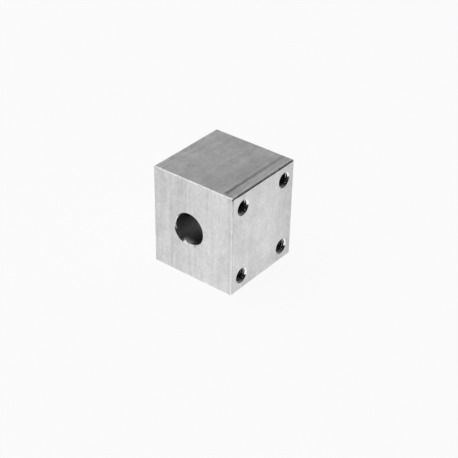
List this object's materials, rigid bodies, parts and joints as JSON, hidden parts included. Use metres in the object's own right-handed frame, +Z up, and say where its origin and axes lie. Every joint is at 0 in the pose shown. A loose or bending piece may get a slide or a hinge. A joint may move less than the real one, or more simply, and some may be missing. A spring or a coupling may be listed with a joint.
{
  "type": "lead screw nut housing",
  "caption": "Solid aluminium block with an offset through bore for a flanged lead screw nut and tapped holes for fastening it to a carriage or plate.",
  "frame": {"origin": "on the axis of the nut bore, halfway along it", "axes": "+X out of the mounting face, +Y along the bore and out of the face that takes the nut's flange, +Z up along the block's height"},
  "size_m": [0.03, 0.03, 0.034],
  "materials": {
    "milled_aluminium": "milled, edges broken"
  },
  "bodies": {
    "root": {"nut_housing": "milled_aluminium"}
  },
  "joints": []
}
